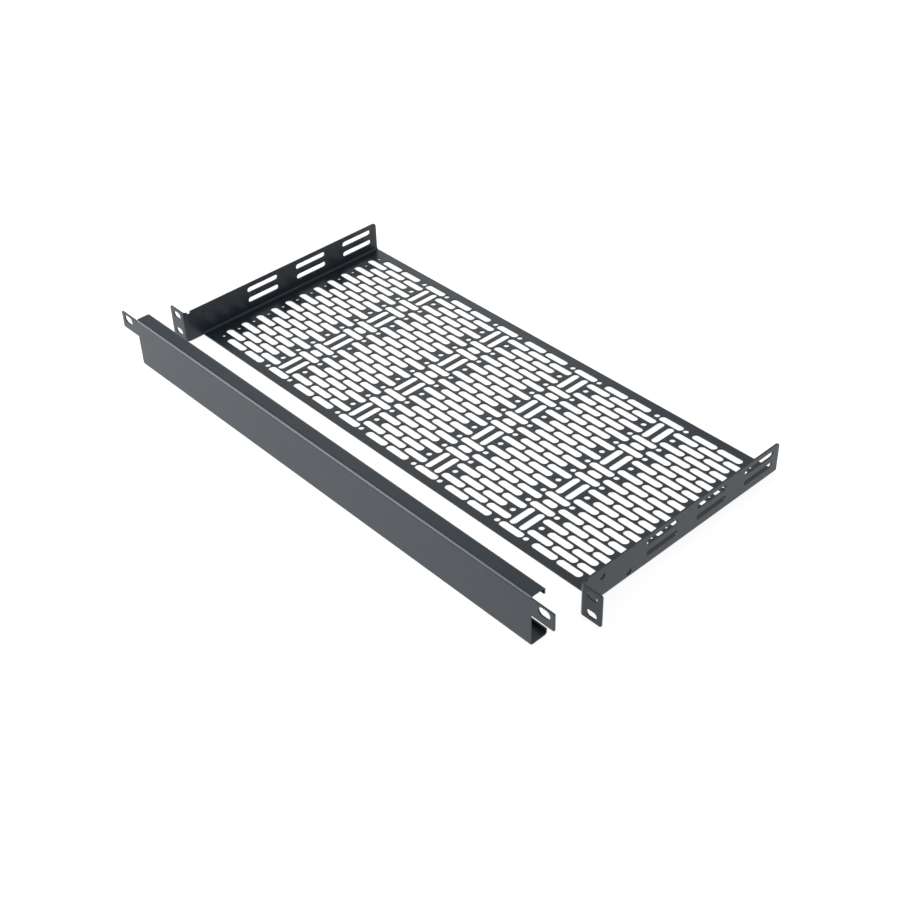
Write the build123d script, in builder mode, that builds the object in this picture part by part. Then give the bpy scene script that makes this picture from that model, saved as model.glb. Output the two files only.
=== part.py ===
# Vented rack shelf for a 19-inch equipment rack, with its front cover standing apart.
# The shelf is one punched and folded steel sheet: a slotted tray, two side flanges and
# two rack ears. The cover is a second folded sheet, a lipped channel with two ears that
# closes the front of the same rack space. It is shown taken off, in front of the shelf.
# Millimetres. X runs across the rack, Y to the back, Z up from the surface it rests on.
# The origin is on that surface, in the middle of the ground that both pieces cover.
import os

from build123d import *

# Steel sheet, the same for both pieces
SHEET = 1.2
BEND_INSIDE = 2.0

# Rack standard that the ears fit: screws 465.1 apart across, and 15.875 up
RACK_WIDTH = 482.6
RACK_HOLE_FROM_END = 8.75
RACK_HOLE_PITCH = 15.875
FIRST_HOLE_HEIGHT = 5.95
RACK_SPACE_HEIGHT = 43.66

# Shelf outline
EAR_REACH = 18.4
SHELF_DEPTH = 206.9
FLANGE_HEIGHT = 27.5
TRAY_SET_BACK = 15.8
FLANGE_CORNER = 3.0
EAR_CORNER = 1.6
EAR_SLOT_LENGTH = 9.2
EAR_SLOT_WIDTH = 6.0
RELIEF_LENGTH = 3.0
RELIEF_DEPTH = 2.0

# Vent slots, in staggered rows across the tray and in bays side by side
VENT_SLOT_LENGTH = 22.7
VENT_SLOT_WIDTH = 6.6
VENT_SLOT_PITCH = 23.69
VENT_ROW_PITCH = 7.76
VENT_BAY_PITCH = 88.46
VENT_EDGE_MARGIN = 9.0

# Tie points on the lines between bays, which repeat down the rows
TIE_ROWS = 6
TIE_SHORT_LENGTH = 12.6
TIE_UPRIGHT_LENGTH = 23.2
TIE_UPRIGHT_WIDTH = 6.0
TIE_UPRIGHT_SPACING = 9.5
TIE_HOLE_DIAMETER = 4.7
TIE_HOLE_OFFSET = 14.24
END_HOLE_DIAMETER = 3.0

# Pairs of long slots in the side flanges
FLANGE_SLOT_PAIRS = 3
FLANGE_SLOT_LENGTH = 31.8
FLANGE_SLOT_WIDTH = 4.7
FLANGE_SLOT_PITCH = 52.0
FLANGE_SLOT_SPACING = 9.8
FLANGE_SLOT_BELOW_TOP = 6.35
FLANGE_SLOT_FROM_BACK = 22.8

# Half-pierced dimples in the side flanges: distance behind the ears, then height
DIMPLE_DIAMETER = 5.0
DIMPLE_DEPTH = 0.6
DIMPLE_PLACES = ((20.5, 19.8), (47.0, 6.5))

# Front cover
COVER_STAND_OFF = 44.3
COVER_END_GAP = 2.4
COVER_TOP_DEPTH = 13.5
COVER_TOP_LIP = 5.8
COVER_FLOOR_CLEARANCE = 0.2
COVER_FLOOR_LIP = 5.2
COVER_BEND_INSIDE = 1.3
COVER_EAR_CLEARANCE = 0.5
COVER_EAR_DROP = 1.0
COVER_EAR_CORNER = 0.8
COVER_SLOT_LENGTH = 10.5
COVER_SLOT_WIDTH = 7.2

# Places worked out from the sizes above
BEND_OUTSIDE = BEND_INSIDE + SHEET
COVER_BEND_OUTSIDE = COVER_BEND_INSIDE + SHEET
BODY_WIDTH = RACK_WIDTH - 2 * EAR_REACH
COVER_WIDTH = BODY_WIDTH - 2 * COVER_END_GAP
EAR_FRONT = (COVER_STAND_OFF - SHELF_DEPTH) / 2
TRAY_FRONT = EAR_FRONT + TRAY_SET_BACK
SHELF_BACK = EAR_FRONT + SHELF_DEPTH
COVER_FRONT = EAR_FRONT - COVER_STAND_OFF
COVER_TOP_BACK = COVER_FRONT + COVER_TOP_DEPTH
COVER_FLOOR_BACK = COVER_FRONT + TRAY_SET_BACK - COVER_FLOOR_CLEARANCE
FLANGE_OUTSIDE = BODY_WIDTH / 2
FLANGE_INSIDE = FLANGE_OUTSIDE - SHEET
EAR_END = RACK_WIDTH / 2
EAR_HOLE_X = EAR_END - RACK_HOLE_FROM_END
SECOND_HOLE_HEIGHT = FIRST_HOLE_HEIGHT + RACK_HOLE_PITCH
THIRD_HOLE_HEIGHT = SECOND_HOLE_HEIGHT + RACK_HOLE_PITCH

# The vent field: as many bays and rows as the tray holds, centred on it
BAY_HALF_SPAN = VENT_SLOT_PITCH + VENT_SLOT_LENGTH / 2
FIELD_WIDTH = BODY_WIDTH - 2 * (VENT_EDGE_MARGIN + BAY_HALF_SPAN)
BAYS = 1 + int(FIELD_WIDTH / VENT_BAY_PITCH)
ROWS = 1 + int((SHELF_BACK - TRAY_FRONT - 2 * VENT_EDGE_MARGIN) / VENT_ROW_PITCH)
FIELD_CENTRE = (SHELF_BACK + TRAY_FRONT) / 2
BAY_CENTRES = [(bay - (BAYS - 1) / 2) * VENT_BAY_PITCH for bay in range(BAYS)]
TIE_LINES = [centre + VENT_BAY_PITCH / 2 for centre in BAY_CENTRES[:-1]]
END_HOLE_X = BAY_CENTRES[-1] + VENT_BAY_PITCH / 2 - TIE_HOLE_OFFSET
ROW_PLACES = [FIELD_CENTRE + ((ROWS - 1) / 2 - row) * VENT_ROW_PITCH for row in range(ROWS)]

# Even rows have two slots in each bay and odd rows have three, so that they stagger.
# On the tie lines the rows run: slot, upright pair over three rows, slot, short slot.
vent_slots = []
tie_shorts = []
tie_uprights = []
tie_holes = []
end_holes = []
for row, y in enumerate(ROW_PLACES):
    even_row = row % 2 == 0
    steps = (-0.5, 0.5) if even_row else (-1, 0, 1)
    vent_slots += [(x + step * VENT_SLOT_PITCH, y) for x in BAY_CENTRES for step in steps]
    if even_row:
        tie_holes += [(x + TIE_HOLE_OFFSET, y) for x in TIE_LINES]
        tie_holes += [(x - TIE_HOLE_OFFSET, y) for x in TIE_LINES]
        end_holes += [(-END_HOLE_X, y), (END_HOLE_X, y)]
    row_of_tie = row % TIE_ROWS
    if row_of_tie in (0, TIE_ROWS - 2):
        vent_slots += [(x, y) for x in TIE_LINES]
    if row_of_tie == TIE_ROWS - 1:
        tie_shorts += [(x, y) for x in TIE_LINES]
    if row_of_tie == TIE_ROWS // 2 - 1 and row < ROWS - 1:
        tie_uprights += [(x - TIE_UPRIGHT_SPACING / 2, y) for x in TIE_LINES]
        tie_uprights += [(x + TIE_UPRIGHT_SPACING / 2, y) for x in TIE_LINES]

# Shelf
with BuildPart() as vented_shelf:
    # Tray and flanges, a U section with rounded bends, run from back to front
    with BuildSketch(Plane.XZ.offset(-SHELF_BACK)):
        with BuildLine():
            FilletPolyline(
                (-FLANGE_OUTSIDE, FLANGE_HEIGHT),
                (-FLANGE_OUTSIDE, 0),
                (FLANGE_OUTSIDE, 0),
                (FLANGE_OUTSIDE, FLANGE_HEIGHT),
                radius=BEND_OUTSIDE,
            )
            offset(amount=SHEET, side=Side.LEFT)
        make_face()
    extrude(amount=SHELF_BACK - TRAY_FRONT)

    # Flange fronts and ears, an L strip on edge at each side, ahead of the tray
    with BuildSketch():
        with BuildLine():
            FilletPolyline(
                (EAR_END, EAR_FRONT),
                (FLANGE_INSIDE, EAR_FRONT),
                (FLANGE_INSIDE, TRAY_FRONT),
                radius=BEND_OUTSIDE,
            )
            offset(amount=SHEET, side=Side.RIGHT)
        make_face()
        mirror(about=Plane.YZ)
    extrude(amount=FLANGE_HEIGHT)

    # Rounded corners of the ears and of the flanges' back ends
    ear_edges = vented_shelf.edges().filter_by(Axis.Y).group_by(Axis.X)
    fillet(ear_edges[0] + ear_edges[-1], radius=EAR_CORNER)
    back_edges = vented_shelf.faces().sort_by(Axis.Y)[-1].edges().filter_by(Axis.X)
    fillet(back_edges.group_by(Axis.Z)[-1], radius=FLANGE_CORNER)

    # Bend reliefs, a notch in the top of each flange where the ear's bend ends
    bend_end = EAR_FRONT + BEND_OUTSIDE
    with BuildSketch(Plane.YZ):
        with Locations((bend_end + RELIEF_LENGTH / 2, FLANGE_HEIGHT)):
            Rectangle(RELIEF_LENGTH, 2 * RELIEF_DEPTH)
    extrude(amount=FLANGE_OUTSIDE, both=True, mode=Mode.SUBTRACT)

    # Dimples, pressed in from the outer face of each flange
    for side in (-1, 1):
        with BuildSketch(Plane.YZ.offset(side * FLANGE_INSIDE)):
            with Locations([(EAR_FRONT + y, z) for y, z in DIMPLE_PLACES]):
                Circle(DIMPLE_DIAMETER / 2)
        extrude(amount=-side * DIMPLE_DEPTH)
        with BuildSketch(Plane.YZ.offset(side * FLANGE_OUTSIDE)):
            with Locations([(EAR_FRONT + y, z) for y, z in DIMPLE_PLACES]):
                Circle(DIMPLE_DIAMETER / 2)
        extrude(amount=-side * DIMPLE_DEPTH, mode=Mode.SUBTRACT)

    # Vent slots and tie points, punched through the tray
    with BuildSketch():
        with Locations(vent_slots):
            SlotOverall(VENT_SLOT_LENGTH, VENT_SLOT_WIDTH)
        with Locations(tie_shorts):
            SlotOverall(TIE_SHORT_LENGTH, VENT_SLOT_WIDTH)
        with Locations(tie_uprights):
            SlotOverall(TIE_UPRIGHT_LENGTH, TIE_UPRIGHT_WIDTH, rotation=90)
        with Locations(tie_holes):
            Circle(TIE_HOLE_DIAMETER / 2)
        with Locations(end_holes):
            Circle(END_HOLE_DIAMETER / 2)
    extrude(amount=SHEET, mode=Mode.SUBTRACT)

    # Flange slots, punched through both sides in line
    last_pair = SHELF_BACK - FLANGE_SLOT_FROM_BACK
    upper_slot = FLANGE_HEIGHT - FLANGE_SLOT_BELOW_TOP
    with BuildSketch(Plane.YZ):
        for pair in range(FLANGE_SLOT_PAIRS):
            y = last_pair - pair * FLANGE_SLOT_PITCH
            with Locations((y, upper_slot), (y, upper_slot - FLANGE_SLOT_SPACING)):
                SlotOverall(FLANGE_SLOT_LENGTH, FLANGE_SLOT_WIDTH)
    extrude(amount=FLANGE_OUTSIDE, both=True, mode=Mode.SUBTRACT)

    # Rack screw slots, two in each ear
    with BuildSketch(Plane.XZ.offset(-EAR_FRONT)):
        for x in (-EAR_HOLE_X, EAR_HOLE_X):
            with Locations((x, FIRST_HOLE_HEIGHT), (x, SECOND_HOLE_HEIGHT)):
                SlotOverall(EAR_SLOT_LENGTH, EAR_SLOT_WIDTH)
    extrude(amount=-SHEET, mode=Mode.SUBTRACT)

# Front cover
with BuildPart() as front_cover:
    # Lipped channel, its section drawn from the upper lip round the face to the lower lip.
    # In the rack its floor reaches back until it all but meets the front edge of the tray.
    with BuildSketch(Plane.YZ):
        with BuildLine():
            FilletPolyline(
                (COVER_TOP_BACK, RACK_SPACE_HEIGHT - COVER_TOP_LIP),
                (COVER_TOP_BACK, RACK_SPACE_HEIGHT),
                (COVER_FRONT, RACK_SPACE_HEIGHT),
                (COVER_FRONT, 0),
                (COVER_FLOOR_BACK, 0),
                (COVER_FLOOR_BACK, COVER_FLOOR_LIP),
                radius=COVER_BEND_OUTSIDE,
            )
            offset(amount=SHEET, side=Side.LEFT)
        make_face()
    extrude(amount=COVER_WIDTH / 2, both=True)

    # Ears, tabs of the face that pass over the shelf's ears
    ear_bottom = FLANGE_HEIGHT + COVER_EAR_CLEARANCE
    ear_top = RACK_SPACE_HEIGHT - COVER_EAR_DROP
    with BuildSketch(Plane.XZ.offset(-COVER_FRONT)):
        with Locations((0, (ear_bottom + ear_top) / 2)):
            RectangleRounded(RACK_WIDTH, ear_top - ear_bottom, COVER_EAR_CORNER)
            Rectangle(COVER_WIDTH, ear_top - ear_bottom, mode=Mode.SUBTRACT)
    extrude(amount=-SHEET)

    # Rack screw slots at the third rack hole
    with BuildSketch(Plane.XZ.offset(-COVER_FRONT)):
        with Locations((-EAR_HOLE_X, THIRD_HOLE_HEIGHT), (EAR_HOLE_X, THIRD_HOLE_HEIGHT)):
            SlotOverall(COVER_SLOT_LENGTH, COVER_SLOT_WIDTH)
    extrude(amount=-SHEET, mode=Mode.SUBTRACT)

# Finished pieces
os.makedirs("parts", exist_ok=True)
vented_shelf.part.label = "vented_shelf"
front_cover.part.label = "front_cover"
export_step(vented_shelf.part, "parts/vented_shelf.step")
export_step(front_cover.part, "parts/front_cover.step")
print(f"{BAYS} bays, {ROWS} rows, {len(vent_slots)} slots, {len(tie_holes + end_holes)} round holes")
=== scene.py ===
# %% [markdown]
# A vented rack shelf with its front cover, in powder-coated sheet steel.
#
# The frame is the measured model: two folded pieces at their real size, in metres. It is
# loaded first, because every mesh, material and light below is placed from it. Its two
# corners are kept, and the lower one sets the height of the light table.

# %% Load the frame
from math import cos, radians, sin

import bmesh
import bpy
from mathutils import Matrix, Vector


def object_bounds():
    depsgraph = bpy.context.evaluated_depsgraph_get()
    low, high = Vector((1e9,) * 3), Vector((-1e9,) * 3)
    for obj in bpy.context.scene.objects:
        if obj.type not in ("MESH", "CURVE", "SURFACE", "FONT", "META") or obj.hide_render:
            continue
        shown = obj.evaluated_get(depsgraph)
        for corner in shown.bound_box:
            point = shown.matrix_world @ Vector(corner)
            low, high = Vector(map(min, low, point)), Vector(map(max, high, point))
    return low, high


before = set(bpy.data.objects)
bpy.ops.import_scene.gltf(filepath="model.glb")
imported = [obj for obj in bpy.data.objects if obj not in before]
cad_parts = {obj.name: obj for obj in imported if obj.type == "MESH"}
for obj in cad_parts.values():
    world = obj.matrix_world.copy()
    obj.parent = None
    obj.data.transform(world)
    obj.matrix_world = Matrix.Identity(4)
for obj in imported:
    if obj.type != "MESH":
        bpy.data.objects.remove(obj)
cad_low, cad_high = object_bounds()
scene = bpy.context.scene
MM = 0.001
print("frame pieces:", sorted(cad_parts))

# %% [markdown]
# Paint makers give colours as sRGB hex values, and shaders want linear light. One function
# turns one into the other, so that every colour below can be read off a paint card. The
# numbers in it are the sRGB standard's own: a straight line near black, and a curve above.

# %% Colours
def from_hex(code):
    channels = [int(code[i:i + 2], 16) / 255 for i in (1, 3, 5)]
    linear = [c / 12.92 if c <= 0.04045 else ((c + 0.055) / 1.055) ** 2.4 for c in channels]
    return (*linear, 1.0)


print("mid grey in linear light:", round(from_hex("#808080")[0], 3))

# %% [markdown]
# A material is a small network of nodes. Writing each node takes the same three things: its
# kind, its settings, and what goes into its sockets. One helper does that for every kind. A
# value that is itself a socket becomes a link, and anything else becomes a number or colour.

# %% Node helper
def add_node(tree, kind, settings=None, inputs=None):
    node = tree.nodes.new(kind)
    for name, value in (settings or {}).items():
        setattr(node, name, value)
    for name, value in (inputs or {}).items():
        if isinstance(value, bpy.types.NodeSocket):
            tree.links.new(value, node.inputs[name])
        else:
            node.inputs[name].default_value = value
    return node


print("one helper adds every kind of node")

# %% [markdown]
# The powder coat: a polyester powder, sprayed dry on the folded steel and then baked. The
# powder melts into a skin that is never quite level. Close up it has a fine grit, and behind
# that a slow swell, the orange peel that coaters speak of. The grit breaks up reflections,
# which is what makes the black look like soft charcoal under a softbox. A slow cloud makes
# the colour itself a little uneven, as a coat of uneven thickness does.
#
# Grit and swell could be carved into the mesh, at the price of millions of faces. Two bump
# nodes on noise do it in the shader instead. The true grit is about 0.1 mm, far below a pixel
# here, so it is drawn at 0.6 mm, about one pixel, which is the finest that can show.

# %% Powder coat sizes
GRIT_SIZE = 0.6 * MM
SWELL_SIZE = 3.0 * MM
CLOUD_SIZE = 60.0 * MM
BUMP_HEIGHT = 0.04 * MM
GRIT_STRENGTH = 0.35
SWELL_STRENGTH = 0.3
print("grit per swell:", round(SWELL_SIZE / GRIT_SIZE, 1))

# %% [markdown]
# The coat is satin. Baked polyester bends light by an index of about 1.5. Pits finer than the
# drawn grit scatter part of its mirror image, and a slightly lower index stands for them.
#
# A punch leaves a sheet's edges sharp, and the coat then rounds them as it flows. That small
# round is what catches the light along every cut edge. A bevel on the mesh would round some
# 500 holes at a great cost in faces, so the Bevel node bends the shading normal there instead.

# %% Powder coat
COAT_ROUGHNESS = 0.34
COAT_IOR = 1.42
EDGE_ROUND = 0.3 * MM
EDGE_SAMPLES = 6


def powder_coat(name, dark, light):
    material = bpy.data.materials.new(name)
    material.use_nodes = True
    tree = material.node_tree
    surface = tree.nodes["Principled BSDF"]
    place = add_node(tree, "ShaderNodeTexCoord").outputs["Object"]
    cloud = add_node(tree, "ShaderNodeTexNoise", {},
                     {"Vector": place, "Scale": 1 / CLOUD_SIZE, "Detail": 2.0})
    grit = add_node(tree, "ShaderNodeTexNoise", {},
                    {"Vector": place, "Scale": 1 / GRIT_SIZE, "Detail": 3.0})
    swell = add_node(tree, "ShaderNodeTexNoise", {},
                     {"Vector": place, "Scale": 1 / SWELL_SIZE, "Detail": 1.0})
    tint = add_node(tree, "ShaderNodeMix", {"data_type": "RGBA"},
                    {"Factor": cloud.outputs["Fac"]})
    tint.inputs["A"].default_value = from_hex(dark)
    tint.inputs["B"].default_value = from_hex(light)
    tree.links.new(tint.outputs["Result"], surface.inputs["Base Color"])
    edges = add_node(tree, "ShaderNodeBevel", {"samples": EDGE_SAMPLES},
                     {"Radius": EDGE_ROUND})
    fine = add_node(tree, "ShaderNodeBump", {},
                    {"Height": grit.outputs["Fac"], "Strength": GRIT_STRENGTH,
                     "Distance": BUMP_HEIGHT, "Normal": edges.outputs["Normal"]})
    broad = add_node(tree, "ShaderNodeBump", {},
                     {"Height": swell.outputs["Fac"], "Strength": SWELL_STRENGTH,
                      "Distance": BUMP_HEIGHT, "Normal": fine.outputs["Normal"]})
    tree.links.new(broad.outputs["Normal"], surface.inputs["Normal"])
    surface.inputs["Roughness"].default_value = COAT_ROUGHNESS
    surface.inputs["IOR"].default_value = COAT_IOR
    print(name, "has", len(tree.nodes), "nodes")
    return material


# %% [markdown]
# The shelf and the cover were coated alike, a neutral black with a breath of blue. They are
# two materials, so that one can be changed without the other. The two tones are the ends
# that the slow cloud wanders between.

# %% Mix the two coats
COAT_DARK = "#161f26"
COAT_LIGHT = "#1c252c"

shelf_coat = powder_coat("black_polyester_powder_coat_shelf", COAT_DARK, COAT_LIGHT)
cover_coat = powder_coat("black_polyester_powder_coat_cover", COAT_DARK, COAT_LIGHT)

# %% [markdown]
# The vented shelf is the tray with its punched slots, its side flanges and its ears, folded
# from one sheet. The front cover is a lipped channel with an ear at each end. Their measured
# meshes already have every fold and slot, so they only need their coat.

# %% Put the coats on
for node, coat in (("vented_shelf", shelf_coat), ("front_cover", cover_coat)):
    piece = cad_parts[node]
    piece.data.materials.clear()
    piece.data.materials.append(coat)
    print(node, "has", len(piece.data.polygons), "triangles")

# %% [markdown]
# The shelf stands on a light table, an opal acrylic sheet lit from below. It throws light up
# at the faces that look sideways, and shows white through every slot with hardly a shadow. A
# flat grid with a glow of its own does the same. It lies a tenth of a millimetre low, so that
# steel and acrylic never share a plane, and it is so wide that its edge stays near the
# horizon.

# %% Light table
FLOOR_SIZE = 60  # metres
FLOOR_GAP = 0.1 * MM

floor_mesh = bpy.data.meshes.new("light_table")
floor_shape = bmesh.new()
bmesh.ops.create_grid(floor_shape, x_segments=1, y_segments=1, size=FLOOR_SIZE / 2)
floor_shape.to_mesh(floor_mesh)
floor_shape.free()
floor = bpy.data.objects.new("light_table", floor_mesh)
floor.location.z = cad_low.z - FLOOR_GAP
scene.collection.objects.link(floor)
print("light table at z =", round(floor.location.z, 5))

# %% [markdown]
# Opal acrylic lets most light through and sends the rest back as a flat grey, so lit from
# above alone it would look dull. Its own glow from below is what makes it white. It is matt
# here, with its specular turned off, because a light table's top is frosted.

# %% Opal acrylic
FLOOR_GREY = "#8c8c8c"
FLOOR_ROUGHNESS = 0.9
FLOOR_GLOW = 0.83

acrylic = bpy.data.materials.new("frosted_opal_acrylic")
acrylic.use_nodes = True
acrylic_surface = acrylic.node_tree.nodes["Principled BSDF"]
acrylic_surface.inputs["Base Color"].default_value = from_hex(FLOOR_GREY)
acrylic_surface.inputs["Roughness"].default_value = FLOOR_ROUGHNESS
acrylic_surface.inputs["Specular IOR Level"].default_value = 0.0
acrylic_surface.inputs["Emission Color"].default_value = from_hex("#ffffff")
acrylic_surface.inputs["Emission Strength"].default_value = FLOOR_GLOW
floor_mesh.materials.append(acrylic)
print("table glow:", FLOOR_GLOW)

# %% [markdown]
# Black satin metal shows mostly what it reflects. A pale room gives even light from all
# round, which keeps every side readable, and three softboxes then draw the shape.

# %% Room light
ROOM_LIGHT = 0.68

world = bpy.data.worlds.new("pale_room")
scene.world = world
world.use_nodes = True
background = world.node_tree.nodes["Background"]
background.inputs["Color"].default_value = from_hex("#ffffff")
background.inputs["Strength"].default_value = ROOM_LIGHT
print("room light:", ROOM_LIGHT)

# %% [markdown]
# Each softbox is a round area lamp, named for where it stands and turned to face the shelf.
# Azimuth is counted in degrees from the front, positive to the right, and elevation up from
# the table. Distance and size are in metres, and power is in watts.
#
# Each lamp is placed by what mirrors it into the camera. The strong one at the front left is
# the light line along the cover's upper fold. The weak one at the back left is the paler
# patch on the far end of the tray. The one on the right lifts the right flange.

# %% Softboxes
def softbox(name, azimuth, elevation, distance, size, power):
    lamp = bpy.data.lights.new(name, "AREA")
    lamp.shape = "DISK"
    lamp.size = size
    lamp.energy = power
    holder = bpy.data.objects.new(name, lamp)
    a, e = radians(azimuth), radians(elevation)
    holder.location = distance * Vector((sin(a) * cos(e), -cos(a) * cos(e), sin(e)))
    holder.rotation_mode = "QUATERNION"
    holder.rotation_quaternion = (-holder.location).to_track_quat("-Z", "Y")
    scene.collection.objects.link(holder)
    print(name, "at azimuth", azimuth, "elevation", elevation)


softbox("front_left_softbox", azimuth=-40, elevation=25, distance=1.6, size=1.35, power=38)
softbox("right_softbox", azimuth=80, elevation=30, distance=2.2, size=1.4, power=10)
softbox("back_left_softbox", azimuth=-131, elevation=31, distance=2.4, size=1.0, power=2.5)

# %% [markdown]
# The camera stands to the right of the front and looks down on the shelf, as a product
# photograph of something flat has to. Its place was worked out from the shelf itself: where
# the tray's holes and the sheet's corners fall in the picture fixes where the camera stood
# and how long its lens was, and the width that the rack standard sets gives the scale. Three
# angles and a distance from the point that it aims at say it most simply.

# %% Camera place
CAMERA_AZIMUTH = 48.402  # degrees, as are the next two
CAMERA_ELEVATION = 38.593
CAMERA_ROLL = -2.058
CAMERA_DISTANCE = 1113.65 * MM
CAMERA_AIM = Vector((36.72, -24.89, 0)) * MM
CAMERA_LENS = 59.554  # millimetres, Blender's own unit for a lens and a sensor
CAMERA_SENSOR = 36

azimuth, elevation, roll = map(radians, (CAMERA_AZIMUTH, CAMERA_ELEVATION, CAMERA_ROLL))
level = Vector((cos(azimuth), sin(azimuth), 0))
back = Vector((sin(azimuth) * cos(elevation), -cos(azimuth) * cos(elevation), sin(elevation)))
upright = back.cross(level)
camera_right = level * cos(roll) + upright * sin(roll)
camera_up = upright * cos(roll) - level * sin(roll)
print("camera", round(CAMERA_DISTANCE, 3), "m from its aim")

# %% [markdown]
# Right, up and back are the columns of the camera's rotation: a Blender camera looks along
# its own -Z, with +Y up. The Standard view keeps the table pure white, where a filmic view
# would turn it grey.

# %% Camera
camera_data = bpy.data.cameras.new("camera")
camera_data.sensor_width = CAMERA_SENSOR
camera_data.lens = CAMERA_LENS
camera = bpy.data.objects.new("camera", camera_data)
scene.collection.objects.link(camera)
turn = Matrix((camera_right, camera_up, back)).transposed().to_4x4()
camera.matrix_world = Matrix.Translation(CAMERA_AIM + back * CAMERA_DISTANCE) @ turn
scene.camera = camera
scene.view_settings.view_transform = "Standard"
print("lens", CAMERA_LENS, "mm on a", CAMERA_SENSOR, "mm sensor")
